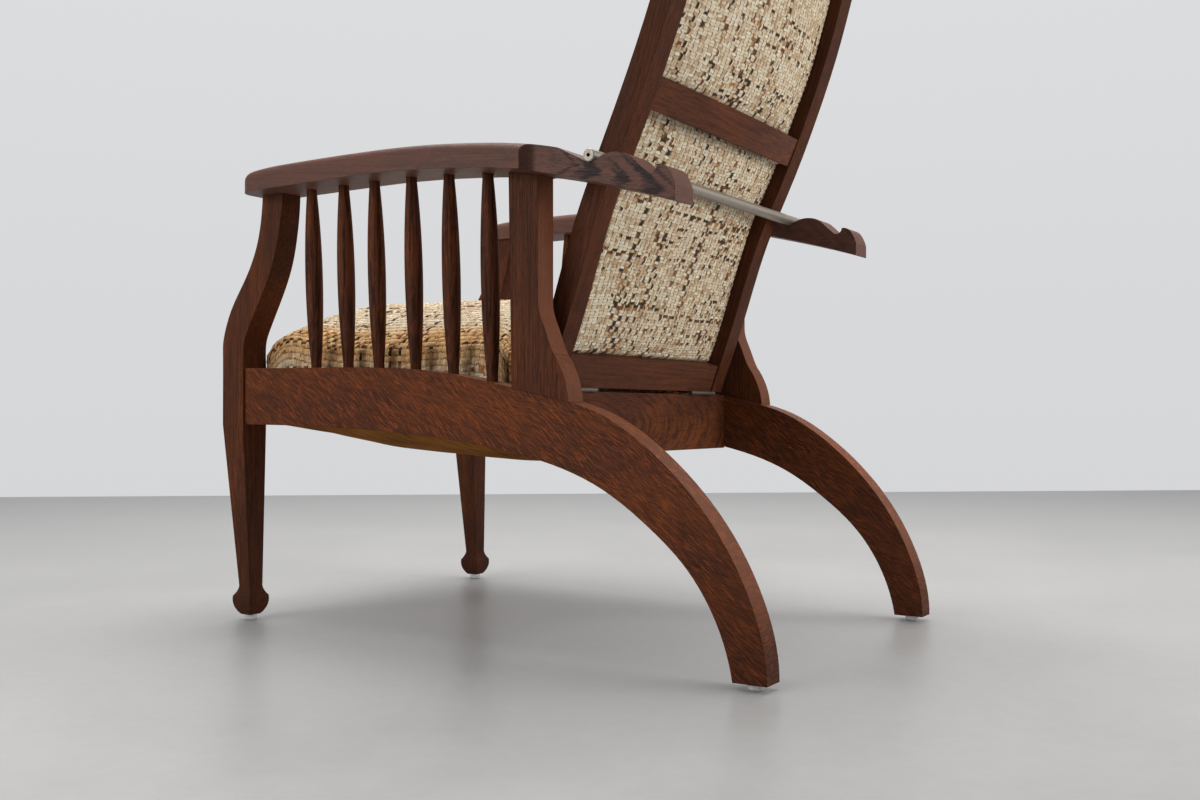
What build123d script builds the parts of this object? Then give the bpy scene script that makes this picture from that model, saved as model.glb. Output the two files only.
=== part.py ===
from build123d import *
import math
import os

# Mission reclining armchair, in millimetres. X runs across the chair, the sitter's left side is +X,
# the front faces -Y and Z is up. While it is drawn, Y is measured from the front feet. Each piece
# is moved at the end, so that the origin lies on the floor under the middle of the chair.

# Stance and overall sizes
foot_spacing = 540.0        # between the middles of the two front feet
board_span = 578.0          # over the outer faces of the two side boards
arm_span = 660.0            # over the outer edges of the two arms
rail_top = 382.0            # top of the side boards behind the front legs
arm_height = 638.0          # underside of the arms at the front
back_rise = 738.0           # from the foot of the back to its top, measured upright
back_run = 264.5            # how far the top of the back lies behind its foot

# Side boards, each one piece of oak that is seat rail and rear leg
board_thick = 34.0
board_run = 861.2           # from the rear of the front leg to the rear foot's heel
board_top_shares = ((0.0, 1.0), (0.2545, 0.9914), (0.467, 0.9586), (0.6203, 0.8927), (0.7422, 0.8194),
                    (0.8084, 0.7325), (0.8722, 0.612), (0.9431, 0.4147), (0.9756, 0.2723), (0.9954, 0.1304))
board_low_shares = ((0.0, 0.778), (0.2545, 0.766), (0.467, 0.7293), (0.6377, 0.6665), (0.7422, 0.5838),
                    (0.8247, 0.4634), (0.8792, 0.3542), (0.9245, 0.2029))
heel_share = 0.9501         # where the rear foot starts, along the board
board_ease = 1.6            # rounding of the board's long edges

# Front legs, with the curved arm support above and a spade foot below
leg_width = 45.0            # across the chair
leg_depth = 45.4            # front to back at the seat rail
leg_proud = 4.0             # how far legs and posts stand outside the boards
leg_top_width = 33.0        # and where it meets the arm
leg_front_shares = ((1.104, 1.0), (0.775, 0.875), (0.198, 0.801), (-0.452, 0.7334), (-0.804, 0.6676),
                    (-0.826, 0.5958))
leg_rear_shares = ((2.051, 1.0), (1.885, 0.9163), (1.6, 0.843), (0.98, 0.757), (0.39, 0.6882),
                   (0.172, 0.627))
ankle = 24.0                # square ankle of the front leg
ankle_height = 51.0
foot_width = 37.0
foot_peak_height = 37.0     # where the spade foot is widest
sole_width = 20.0
foot_round_share = 0.45     # height of the foot's shoulder point, from sole to peak
foot_shoulder_share = 0.94  # and its half width there
foot_waist_share = 0.33     # how much of the foot's swell is left half-way to the ankle
leg_lean = 0.05             # slope of the support where it meets the arm

# Glides under the four feet
glide_across = 19.0
glide_height = 8.5
glide_ease = 2.0

# Rear posts and the ears glued behind them
post_thick = 33.0
post_front = 510.0          # front edge of the post under the arm
post_front_low = 517.0
post_rear = 557.0
post_flare_start = 456.0    # height where the rear edge starts to flare
post_flare_depth = 24.0     # how far the flare reaches back at the joint line
post_flare_share = 0.4      # how far it has come out half-way down
post_flare_slope = 0.6      # and its slope at the joint line
ear_depth = 22.5
ear_top = 388.0
ear_curve_shares = ((0.0, 0.0), (0.62, -1.1))
ear_foot_share = 3.0        # height of the ear's upright end, in ear depths
ear_slope = 0.75

# Arms
arm_front = 35.0
arm_length = 728.0
arm_thick = 34.0
arm_width = 78.0
arm_drop = 78.4             # how far the underside falls to the rear tip
arm_round = 13.0            # rounding of the upper edges
arm_corner = 30.0           # rounding of the front corners, seen from above
arm_low_shares = ((0.30, 0.0), (0.4437, 0.034), (0.5618, 0.110), (0.7294, 0.311), (0.8379, 0.5536),
                  (0.9547, 0.862), (1.0, 1.0))
arm_top_shares = ((0.0, 0.78), (0.055, 0.94), (0.14, 1.0), (0.3036, 0.988), (0.4794, 0.871),
                  (0.6195, 0.609), (0.7074, 0.353), (0.7802, 0.026))
wide_end_share = 0.7431     # where the cove has narrowed the arm to its rear bracket, along the arm
cove_radius = 26.0
bracket_inner_inset = 12.0  # the bracket's inner face, from the arm's inner edge
bracket_outer_inset = 12.0  # the bracket's outer face at the cove, from the arm's outer edge
tip_width = 44.0
tip_height = 19.0           # upright end face of the rear tip
tip_slope = 19.0            # degrees by which the underside falls at the tip

# Support rod and the two notches that it rests in
rod_across = 16.0
rod_bore = 5.0
rod_bore_depth = 30.0
rod_ease = 1.0
rod_overhang = 4.0          # how far the rod stands outside the brackets
notch_share = 0.844093      # place of the first notch along the arm
notch_drop = 14.0           # and the rod's middle there below the arm's underside at the front
notch_pitch = 81.5          # from the first notch back to the second
notch_fall = 20.0           # and down
rod_swing_radius = 54.0     # radius of the rod's path from notch to notch
running_gap = 0.3           # between faces that move past each other
first_slope = -27.0         # degrees, the arm's fall into the first notch
second_slope = -40.0        # and into the second
crest_shares = ((0.985, 117.0), (0.975, 101.0), (0.955, 76.0))   # share of the rod's path, and angle
lip_shares = ((0.37, -0.05), (0.77, -0.46))     # the lip behind the second notch

# Spindles
spindle_end = 15.0
spindle_belly = 25.0
spindle_lean = 10.0         # how much further out the top is than the foot
spindle_collar = 7.0        # straight stretch beside each socket
spindle_shares = (0.264, 0.391, 0.508, 0.643, 0.774, 0.904)
socket_depth = 9.0
socket_gap = 0.1

# Seat rails, battens, webbing and cloth
front_rail_thick = 27.0
front_rail_height = 84.0
rear_rail_thick = 26.0
rear_rail_rear = 538.0
rear_rail_top = 343.5
rear_rail_height = 86.5
batten = 20.0
batten_top = 320.0
strap_width = 50.0
strap_thick = 2.0
straps_along = 5
straps_across = 5
cloth_thick = 2.0
cloth_sag = 50.0
cloth_sag_shares = (0.12, 0.82, 1.02, 1.12, 0.1)

# Seat cushion
soft_gap = 0.3              # between a cushion and the wood beside it
seat_cushion_rear = 484.0
seat_edge = 408.0           # height of the cushion's side edge
seat_crown = 494.0          # height of its middle
seat_station_shares = (0.0, 0.07, 0.22, 0.50, 0.80, 0.95, 1.0)
seat_edge_shares = (0.75, 1.7, 1.38, 0.95, 1.0, 0.7, -0.1)
seat_crown_shares = (0.6, 0.66, 0.89, 0.98, 0.91, 0.68, 0.36)
seat_inset_shares = (0.9, 0.5, 0.35, 1.0, 0.35, 0.6, 1.8)
seat_drawn_in = 5.0         # how far the sides pull in between the corners

# Back frame
back_half = 245.0           # outer face of a stile, from the middle
stile_width = 34.0
stile_depth = 30.0
back_curve_shares = ((-0.035, -0.035), (0.0, 0.0), (0.1497, 0.1453), (0.3195, 0.3205), (0.4885, 0.4519),
                     (0.6348, 0.5755), (0.7807, 0.7202), (0.8616, 0.8205), (1.0, 1.0))
back_foot_y = 537.0         # rear edge of the stile's foot
hinge_gap = 5.0             # between the rear seat rail and the back
stile_start_share = 0.035   # part of the drawn curve that lies below the foot
stile_station_shares = (0.0, 0.15, 0.3, 0.45, 0.6, 0.75, 0.9, 1.0)
stile_round = 12.0
back_rail_thick = 22.0
back_rail_set = 2.0         # the rails' rear faces, in front of the stiles' rear edges
low_rail_height = 42.0
middle_rail_height = 43.0
middle_rail_share = 0.478   # place of the middle rail's lower edge along the stile
top_rail_height = 60.0
top_rail_drop = 10.0        # the top rail's upper edge, below the stile's top
rail_bow = 16.0             # how far the middle and top rails bow to the rear
least_bow = 1.0             # the bow of panel and pad beside the straight low rail
panel_set = 20.0            # the outside-back panels, in front of the stiles' rear edges
panel_thick = 6.0
panel_gap = 1.0             # between a panel and the rails above and below it
panel_station_shares = (0.0, 0.25, 0.5, 0.75, 1.0)
pad_edge = 22.0             # how far the back cushion's side edge stands in front of the panels
pad_crown = 58.0            # and how far its middle
pad_start = 14.0            # the back cushion's lower edge, along the stile
pad_end = 22.0              # and its upper edge, from the stile's top
pad_gap = 0.8               # between the pad and the panels behind it
pad_station_shares = (0.0, 0.03, 0.14, 0.30, 0.42, 0.54, 0.68, 0.86, 0.97, 1.0)
pad_swell_shares = (0.30, 0.62, 0.90, 0.98, 1.0, 1.0, 0.97, 0.88, 0.60, 0.28)
pad_drawn_in = 3.0
pad_inset_shares = (2.4, 1.2, 0.4, 0.8, 1.0, 1.0, 0.8, 0.4, 1.2, 2.4)

# Butt hinges
hinge_place = 173.0         # middle of each hinge, from the middle of the chair
hinge_length = 77.0
knuckle_across = 6.0
knuckles = 5
pin_across = 3.0
pin_gap = 0.05
leaf_thick = 1.8
leaf_reach = 24.0

overrun = 20.0              # how far cutting shapes run past what they cut
level_share = 0.7           # a face counts as an upper face where its normal stands this far up

# Places worked out from the sizes above
foot_x = foot_spacing / 2
board_outer = board_span / 2
board_inner = board_outer - board_thick
board_mid = board_outer - board_thick / 2
leg_outer = board_outer + leg_proud
leg_inner = leg_outer - leg_width
leg_rear = leg_rear_shares[-1][0] * leg_depth
leg_front_line = leg_front_shares[-1][0] * leg_depth
board_rear = leg_rear + board_run
arm_outer = arm_span / 2
arm_inner = arm_outer - arm_width
arm_rear = arm_front + arm_length
wide_end = arm_front + wide_end_share * arm_length
first_notch_y = arm_front + notch_share * arm_length
first_notch_z = arm_height - notch_drop
bracket_inner = arm_inner + bracket_inner_inset
bracket_outer = arm_outer - bracket_outer_inset
post_outer = leg_outer
post_inner = post_outer - post_thick
joint_line = post_rear + post_flare_depth
rod_radius = rod_across / 2
seat_radius = rod_radius + running_gap
second_notch_y = first_notch_y + notch_pitch
second_notch_z = first_notch_z - notch_fall
back_foot_z = rear_rail_top + hinge_gap
rear_rail_front = rear_rail_rear - rear_rail_thick
stile_inner = back_half - stile_width
hinge_y = rear_rail_rear + knuckle_across / 2 + running_gap
hinge_z = rear_rail_top + hinge_gap / 2
joint_foot = board_low_shares[3][1] * rail_top
middle_y = (board_rear + leg_front_line) / 2


def scaled(shares, start, size):
    """Points at shares of a size, counted from a start."""
    return [(start[0] + a * size[0], start[1] + b * size[1]) for a, b in shares]


def side_plate(lines, inner, thickness):
    """A plate with this outline seen from the side, from its inner face outwards."""
    return extrude(Plane.YZ.offset(inner) * make_face(lines), thickness)


def height_on(curve, y):
    """The height of a curve, seen from the side, at a place along the chair."""
    low, high = 0.0, 1.0
    forward = (curve @ 1).X > (curve @ 0).X
    for step in range(50):
        middle = (low + high) / 2
        if ((curve @ middle).X < y) == forward:
            low = middle
        else:
            high = middle
    return (curve @ low).Y


# Side boards
board_size = (board_run, rail_top)
board_top = Spline(*scaled(board_top_shares, (leg_rear, 0), board_size), (board_rear, glide_height))
board_low = Spline(*scaled(board_low_shares, (leg_rear, 0), board_size),
                   (leg_rear + heel_share * board_run, glide_height))


def board_shape(inner, thickness):
    """The side board's outline at any thickness."""
    lines = [board_top, board_low, Line(board_top @ 0, board_low @ 0), Line(board_top @ 1, board_low @ 1)]
    return side_plate(lines, inner, thickness)


# The arm seen from the side, from its front over the notches to the rear tip
arm_low_points = scaled(arm_low_shares, (arm_front, arm_height), (arm_length, -arm_drop))
arm_low = Spline(*arm_low_points, tangents=((1, 0), (1, -math.tan(math.radians(tip_slope)))))
arm_low_front = Line((arm_front, arm_height), arm_low_points[0])
arm_top_points = scaled(arm_top_shares, (arm_front, arm_height), (arm_length, arm_thick))


def on_circle(centre, radius, angle):
    """A point on a circle, by its angle above the horizontal."""
    turn = math.radians(angle)
    return (centre[0] + radius * math.cos(turn), centre[1] + radius * math.sin(turn))


def angle_between(start, end):
    """The angle above the horizontal of the line from one point to another."""
    return math.degrees(math.atan2(end[1] - start[1], end[0] - start[0]))


first_notch = (first_notch_y, first_notch_z)
second_notch = (second_notch_y, second_notch_z)
half_chord = math.hypot(notch_pitch, notch_fall) / 2
chord_angle = angle_between(first_notch, second_notch)
swing_depth = math.sqrt(rod_swing_radius ** 2 - half_chord ** 2)
chord_middle = ((first_notch[0] + second_notch[0]) / 2, (first_notch[1] + second_notch[1]) / 2)
swing_centre = on_circle(chord_middle, swing_depth, chord_angle - 90)
swing_angle = 2 * math.degrees(math.asin(half_chord / rod_swing_radius))


def arm_lines():
    """The arm's closed outline seen from the side."""
    first_front = on_circle(first_notch, seat_radius, first_slope - 90)
    first_low = on_circle(first_notch, seat_radius, -90)
    first_out = on_circle(first_notch, seat_radius, angle_between(first_notch, swing_centre))
    crest = [on_circle(swing_centre, share * (rod_swing_radius - seat_radius), angle)
             for share, angle in crest_shares]
    second_front = on_circle(second_notch, seat_radius, second_slope - 90)
    second_low = on_circle(second_notch, seat_radius, -90)
    second_out = on_circle(second_notch, seat_radius, 0)
    fall = (1, math.tan(math.radians(second_slope)))
    start = (crest[0][0] - first_out[0], crest[0][1] - first_out[1])
    tip_low = (arm_rear, arm_height - arm_drop)
    tip_top = (arm_rear, arm_height - arm_drop + tip_height)
    lip = scaled(lip_shares, second_out, (arm_rear - second_out[0], second_out[1] - tip_top[1]))
    return [
        arm_low, arm_low_front,
        Line((arm_front, arm_height), arm_top_points[0]),
        Spline(*arm_top_points),
        Line(arm_top_points[-1], first_front),
        ThreePointArc(first_front, first_low, first_out),
        Line(first_out, crest[0]),
        Spline(*crest, second_front, tangents=(start, fall)),
        ThreePointArc(second_front, second_low, second_out),
        Spline(second_out, *lip, tip_top),
        Line(tip_top, tip_low),
    ]


def arm_shape():
    """The left arm: a wide rounded arm that a cove narrows to the notched bracket."""
    outline = arm_lines()
    side = side_plate(outline, arm_inner, arm_width)
    wide_plan = Pos((arm_inner + arm_outer) / 2, (arm_front + wide_end) / 2) * Rectangle(
        arm_width, wide_end - arm_front)
    wide_plan = fillet(wide_plan.vertices().group_by(Axis.Y)[0], arm_corner)
    wide = side & extrude(wide_plan, 2 * arm_height)
    wide = fillet(upper_edges(wide), arm_round)
    for x in (bracket_outer + cove_radius, bracket_inner - cove_radius):
        wide -= Pos(x, wide_end, arm_height) * Cylinder(cove_radius, 2 * arm_height)
    bracket_plan = make_face(Polyline(
        (bracket_inner, wide_end), (bracket_outer, wide_end),
        (bracket_inner + tip_width, arm_rear), (bracket_inner, arm_rear), close=True))
    bracket = side & extrude(bracket_plan, 2 * arm_height)
    return wide + bracket


def upper_edges(wide):
    """The edges above the wide arm's front and sides."""
    end = wide.faces().sort_by(Axis.Y)[-1].edges()
    above = wide.faces().filter_by(lambda face: face.normal_at().Z > level_share)
    return [e for e in above.edges() if not any(e.is_same(other) for other in end)]


# Front legs
def leg_shape():
    """The left front leg: side view and front view outlines, each cut through the other."""
    def outline(front_upper, rear_upper, front_join, rear_join, middle):
        half_sole, half_foot, half_ankle = sole_width / 2, foot_width / 2, ankle / 2
        shoulder = glide_height + foot_round_share * (foot_peak_height - glide_height)
        lines = []
        for sign, upper, join in ((-1, front_upper, front_join), (1, rear_upper, rear_join)):
            sole = (middle + sign * half_sole, glide_height)
            peak = (middle + sign * half_foot, foot_peak_height)
            neck = (middle + sign * half_ankle, ankle_height)
            waist = (middle + sign * (half_ankle + (half_foot - half_ankle) * foot_waist_share),
                     (foot_peak_height + ankle_height) / 2)
            lines += [ThreePointArc(sole, (middle + sign * half_foot * foot_shoulder_share, shoulder), peak),
                      ThreePointArc(peak, waist, neck), Line(neck, join), *upper]
        lines.append(Line((middle - half_sole, glide_height), (middle + half_sole, glide_height)))
        return lines

    over = arm_height + arm_thick
    front = scaled(leg_front_shares, (0, 0), (leg_depth, arm_height))
    rear = scaled(leg_rear_shares, (0, 0), (leg_depth, arm_height))
    front_join = (front[-1][0], board_low_shares[0][1] * rail_top)
    rear_join = (rear[-1][0], board_low_shares[0][1] * rail_top)
    front_curve = Spline(*front, tangents=((-leg_lean, -1), (0, -1)))
    rear_curve = Spline(*rear, tangents=((-leg_lean, -1), (0, -1)))
    side = outline([front_curve, Line(front[-1], front_join)], [rear_curve, Line(rear[-1], rear_join)],
                   front_join, rear_join, 0)
    side.append(Line(front[0], rear[0]))
    inner_join = (leg_inner, front_join[1])
    outer_join = (leg_outer, front_join[1])
    inner_foot, inner_top = (leg_inner, rail_top), (leg_outer - leg_top_width, over)
    face = outline([Polyline(inner_top, inner_foot, inner_join)], [Line((leg_outer, over), outer_join)],
                   inner_join, outer_join, foot_x)
    face.append(Line(inner_top, (leg_outer, over)))
    inmost, outmost = min(leg_inner, foot_x - foot_width / 2), max(leg_outer, foot_x + foot_width / 2)
    from_side = side_plate(side, inmost, outmost - inmost)
    reach = rear[0][0] + overrun
    from_front = extrude(Plane.XZ.offset(-reach) * make_face(face), reach + leg_depth + overrun)
    return from_side & from_front


def glide_shape(x, y):
    """A round glide under a foot."""
    disc = Cylinder(glide_across / 2, glide_height, align=(Align.CENTER, Align.CENTER, Align.MIN))
    return Pos(x, y) * chamfer(disc.edges().sort_by(Axis.Z)[0], glide_ease)


# Rear posts and ears
def post_lines():
    """The post's outline seen from the side, run past the arm and the board that trim it."""
    half_way = (post_rear + post_flare_depth * post_flare_share, (post_flare_start + ear_top) / 2)
    flare = Spline((post_rear, post_flare_start), half_way, (joint_line, ear_top),
                   tangents=((0, -1), (post_flare_slope, -1)))
    top_front, top_rear = (post_front, arm_height), (post_rear, arm_height)
    foot_front, foot_rear = (post_front_low, joint_foot), (joint_line, joint_foot)
    return [Line(top_front, top_rear), Line(top_rear, flare @ 0), flare, Line(flare @ 1, foot_rear),
            Line(foot_rear, foot_front), Line(foot_front, top_front)]


def ear_lines():
    """The ear's outline behind the post."""
    foot_front, foot_rear = (joint_line, joint_foot), (joint_line + ear_depth, joint_foot)
    upper = scaled(ear_curve_shares, (joint_line, ear_top), (ear_depth, ear_depth))
    curve = Spline(*upper, (foot_rear[0], joint_foot + ear_depth * ear_foot_share),
                   tangents=((ear_slope, -1), (0, -1)))
    return [curve, Line(curve @ 1, foot_rear), Line(foot_rear, foot_front), Line(foot_front, curve @ 0)]


# Spindles
spindle_places = [leg_rear + s * (post_front_low - leg_rear) for s in spindle_shares]


def spindle_parts(y):
    """A bellied spindle from socket to socket, and the cutter for its two sockets."""
    foot_z = height_on(board_top, y)
    top_z = height_on(arm_low, y) if y > arm_low_points[0][0] else arm_height
    span = top_z - foot_z
    end, belly = spindle_end / 2, spindle_belly / 2
    low, high = spindle_collar, span - spindle_collar
    outer = Polyline((end, high), (end, span + socket_depth), (0, span + socket_depth), (0, -socket_depth),
                     (end, -socket_depth), (end, low))
    swell = Bezier((end, low), (2 * belly - end, span / 2), (end, high))
    turned = revolve(Plane.XZ * make_face([swell, outer]), Axis.Z)
    length = span + 2 * (socket_depth + socket_gap)
    bore = Pos(0, 0, span / 2) * Cylinder(end + socket_gap, length)
    lean = math.degrees(math.atan(spindle_lean / span))
    place = Pos(board_mid, y, foot_z) * Rot(0, lean, 0)
    return place * turned, place * bore


# Curved back: stations along the stile's rear edge
back_curve = Spline(*scaled(back_curve_shares, (back_foot_y, back_foot_z), (back_run, back_rise)))
stile_start = back_curve.length * stile_start_share
stile_length = back_curve.length


def back_plane(distance):
    """The plane square to the stile at a distance up it; its local y points to the rear."""
    share = (stile_start + distance) / stile_length
    point, along = back_curve.position_at(share), back_curve.tangent_at(share)
    return Plane(origin=(0, point.X, point.Y), x_dir=(1, 0, 0), z_dir=(0, along.X, along.Y))


back_length = stile_length - stile_start


def stile_shape():
    """The left stile: its front edge follows its rear edge at one depth."""
    front = []
    for share in stile_station_shares:
        point, along = back_curve.position_at(share), back_curve.tangent_at(share)
        front.append((point.X - stile_depth * along.Y, point.Y + stile_depth * along.X))
    front_curve = Spline(*front)
    lines = [back_curve, front_curve, Line(back_curve @ 0, front_curve @ 0),
             Line(back_curve @ 1, front_curve @ 1)]
    stile = side_plate(lines, stile_inner, stile_width)
    top = stile.faces().sort_by(Axis.Z)[-1].edges().filter_by(Axis.X)
    return trim_foot(fillet(top, stile_round))


def trim_foot(shape):
    """Cuts the foot of the back level, above the hinge gap."""
    side, reach = back_half + overrun, stile_depth + overrun
    low = block(-side, side, back_foot_y - reach, back_foot_y + reach, back_foot_z - reach, back_foot_z)
    return shape - low


def bowed_section(half, rear, front, bow):
    """The cross-section of a rail or panel that bows to the rear between its ends."""
    return make_face([ThreePointArc((-half, rear), (0, rear + bow), (half, rear)),
                      Line((half, rear), (half, front)),
                      ThreePointArc((half, front), (0, front + bow), (-half, front)),
                      Line((-half, front), (-half, rear))])


def rail_shape(start, height, bow):
    """A rail between the stiles, straight or bowed to the rear."""
    rear, front = -back_rail_set, -back_rail_set - back_rail_thick
    straight = Pos(0, (rear + front) / 2) * Rectangle(2 * stile_inner, rear - front)
    section = bowed_section(stile_inner, rear, front, bow) if bow else straight
    return extrude(back_plane(start) * section, height)


def panel_shape(start, end, low_bow, high_bow):
    """An outside-back panel that follows the stiles and the bow of its rails."""
    half = stile_inner - soft_gap
    rear, front = -panel_set, -panel_set - panel_thick
    sections = []
    for share in panel_station_shares:
        bow = low_bow + (high_bow - low_bow) * share
        sections.append(back_plane(start + share * (end - start)) * bowed_section(half, rear, front, bow))
    return loft(sections)


def back_cushion_shape():
    """The pad on the front of the back: crowned, thinner at its ends, sides drawn in."""
    start, end = pad_start, back_length - pad_end
    rear = -panel_set - panel_thick - pad_gap
    sections = []
    for station, swell, inset in zip(pad_station_shares, pad_swell_shares, pad_inset_shares):
        distance = start + station * (end - start)
        half = stile_inner - soft_gap - inset * pad_drawn_in
        front = rear - pad_edge * swell
        lines = [Line((-half, rear), (half, rear)), Line((half, rear), (half, front)),
                 ThreePointArc((half, front), (0, front - (pad_crown - pad_edge) * swell), (-half, front)),
                 Line((-half, front), (-half, rear))]
        sections.append(back_plane(distance) * make_face(lines))
    return loft(sections)


# Seat
def seat_cushion_shape():
    """The sprung seat: crowned, with its sides drawn in between the corners."""
    front, rear = leg_rear + soft_gap, seat_cushion_rear
    bottom = batten_top + 2 * strap_thick + soft_gap
    rise, crown = seat_edge - rail_top, seat_crown - seat_edge
    sections = []
    rows = zip(seat_station_shares, seat_edge_shares, seat_crown_shares, seat_inset_shares)
    for station, edge_share, crown_share, inset in rows:
        y = front + station * (rear - front)
        half = board_inner - soft_gap - inset * seat_drawn_in
        edge = rail_top + rise * edge_share
        top = edge + crown * crown_share
        lines = [Line((-half, bottom), (half, bottom)), Line((half, bottom), (half, edge)),
                 ThreePointArc((half, edge), (0, top), (-half, edge)), Line((-half, edge), (-half, bottom))]
        sections.append(Plane((0, y, 0), x_dir=(1, 0, 0), z_dir=(0, -1, 0)) * make_face(lines))
    return loft(sections)


def bottom_cloth_shape():
    """The cloth under the seat, sagging between its four tacked edges."""
    front, rear = leg_rear + soft_gap, rear_rail_front - soft_gap
    top = batten_top - batten - soft_gap
    half = board_inner - batten / 2
    sections = []
    for step, share in enumerate(cloth_sag_shares):
        y = front + (rear - front) * step / (len(cloth_sag_shares) - 1)
        sag = cloth_sag * share
        lines = [ThreePointArc((-half, top), (0, top - sag), (half, top)),
                 Line((half, top), (half, top - cloth_thick)),
                 ThreePointArc((half, top - cloth_thick), (0, top - sag - cloth_thick),
                               (-half, top - cloth_thick)),
                 Line((-half, top - cloth_thick), (-half, top))]
        sections.append(Plane((0, y, 0), x_dir=(1, 0, 0), z_dir=(0, -1, 0)) * make_face(lines))
    return loft(sections)


def block(x0, x1, y0, y1, z0, z1):
    """A box between two corners."""
    return Pos((x0 + x1) / 2, (y0 + y1) / 2, (z0 + z1) / 2) * Box(x1 - x0, y1 - y0, z1 - z0)


def webbing_shape():
    """Straps along the chair on the end battens, and straps across on the side battens."""
    straps = []
    inner = board_inner - batten
    front, rear = leg_rear + soft_gap, rear_rail_front - soft_gap
    for number in range(straps_along):
        x = inner * (2 * (number + 0.5) / straps_along - 1)
        straps.append(block(x - strap_width / 2, x + strap_width / 2, front, rear,
                            batten_top, batten_top + strap_thick))
    half = board_inner - soft_gap
    for number in range(straps_across):
        y = front + batten + (rear - front - 2 * batten) * (number + 0.5) / straps_across
        straps.append(block(-half, half, y - strap_width / 2, y + strap_width / 2,
                            batten_top + strap_thick, batten_top + 2 * strap_thick))
    return straps


# Hinges
def knuckle_run(number):
    """Where a knuckle starts and ends along the hinge."""
    pitch = hinge_length / knuckles
    return number * pitch + running_gap / 2, (number + 1) * pitch - running_gap / 2


def leaf_shape(first_knuckle, low):
    """A hinge leaf with every second knuckle, at the middle of the chair."""
    leaf = block(0, hinge_length, hinge_y - leaf_reach, hinge_y, low, low + leaf_thick)
    bore = Pos(hinge_length / 2, hinge_y, hinge_z) * Rot(0, 90, 0) * Cylinder(
        pin_across / 2 + pin_gap, hinge_length + overrun)
    clear = knuckle_across / 2 + running_gap
    for number in range(knuckles):
        start, end = knuckle_run(number)
        middle = Pos((start + end) / 2, hinge_y, hinge_z) * Rot(0, 90, 0)
        if number % 2 == first_knuckle:
            leaf += middle * Cylinder(knuckle_across / 2, end - start)
        else:
            leaf -= middle * Cylinder(clear, end - start + 2 * running_gap)
    return leaf - bore


fixed_low = rear_rail_top
moving_low = back_foot_z - leaf_thick
hinge_starts = (hinge_place - hinge_length / 2, -hinge_place - hinge_length / 2)


# Build every piece of the left side, then its mirror image
pieces = {}
arm = arm_shape()
trim_above = side_plate(arm_lines(), arm_inner - overrun, arm_width + 2 * overrun)
trim_below = board_shape(board_inner - overrun, board_thick + 2 * overrun)
board = board_shape(board_inner, board_thick)
post_clear = block(0, arm_span, 0, joint_line + ear_depth + overrun, 0, joint_foot)
post = side_plate(post_lines(), post_inner, post_thick) - trim_above - trim_below - post_clear
ear = side_plate(ear_lines(), post_inner, post_thick) - trim_below - post_clear
leg = leg_shape() - trim_above

for number, y in enumerate(spindle_places):
    spindle, bore = spindle_parts(y)
    board -= bore
    arm -= bore
    pieces[f"spindle_left_{number + 1}"] = spindle
heel_middle = leg_rear + board_run * (1 + heel_share) / 2
pieces["side_board_left"] = board
pieces["front_leg_left"] = leg
pieces["rear_post_left"] = post.solids().sort_by(SortBy.VOLUME)[-1]
pieces["post_ear_left"] = ear.solids().sort_by(SortBy.VOLUME)[-1]
pieces["arm_left"] = arm
pieces["front_glide_left"] = glide_shape(foot_x, 0)
pieces["rear_glide_left"] = glide_shape(board_mid, heel_middle)
pieces["back_stile_left"] = stile_shape()
batten_front = leg_rear + soft_gap
pieces["seat_batten_left"] = block(board_inner - batten, board_inner, batten_front, rear_rail_front,
                                   batten_top + strap_thick - batten, batten_top + strap_thick)
for name in list(pieces):
    pieces[name.replace("left", "right")] = mirror(pieces[name], about=Plane.YZ)

# Pieces on the middle line
rail_bottom = rail_top - front_rail_height
front_rail = block(-leg_inner, leg_inner, leg_rear - front_rail_thick, leg_rear, rail_bottom, rail_top)
pieces["front_seat_rail"] = fillet(front_rail.edges().filter_by(Axis.X), board_ease)
rear_rail = block(-board_inner, board_inner, rear_rail_front, rear_rail_rear,
                  rear_rail_top - rear_rail_height, rear_rail_top)
pieces["rear_seat_rail"] = rear_rail
inner = board_inner - batten
pieces["seat_batten_front"] = block(-inner, inner, leg_rear, leg_rear + batten,
                                    batten_top - batten, batten_top)
pieces["seat_batten_rear"] = block(-inner, inner, rear_rail_front - batten, rear_rail_front,
                                   batten_top - batten, batten_top)
pieces["seat_webbing"] = webbing_shape()
pieces["seat_bottom_cloth"] = bottom_cloth_shape()
pieces["seat_cushion"] = seat_cushion_shape()

pieces["back_bottom_rail"] = trim_foot(rail_shape(-overrun, low_rail_height + overrun, 0))
middle_start = middle_rail_share * back_length
top_start = back_length - top_rail_drop - top_rail_height
pieces["back_middle_rail"] = rail_shape(middle_start, middle_rail_height, rail_bow)
pieces["back_top_rail"] = rail_shape(top_start, top_rail_height, rail_bow)
pieces["back_panel_lower"] = panel_shape(low_rail_height + panel_gap, middle_start - panel_gap,
                                         least_bow, rail_bow)
pieces["back_panel_upper"] = panel_shape(middle_start + middle_rail_height + panel_gap,
                                         top_start - panel_gap, rail_bow, rail_bow)
pieces["back_cushion"] = back_cushion_shape()

# The two butt hinges: the fixed leaf lies on the rear rail, the moving one under the back
for side, start in zip(("left", "right"), hinge_starts):
    pieces[f"hinge_leaf_fixed_{side}"] = Pos(start, 0, 0) * leaf_shape(0, fixed_low)
    pieces[f"hinge_leaf_moving_{side}"] = Pos(start, 0, 0) * leaf_shape(1, moving_low)
    pin_place = Pos(start + hinge_length / 2, hinge_y, hinge_z) * Rot(0, 90, 0)
    pieces[f"hinge_pin_{side}"] = pin_place * Cylinder(pin_across / 2, hinge_length)

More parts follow.
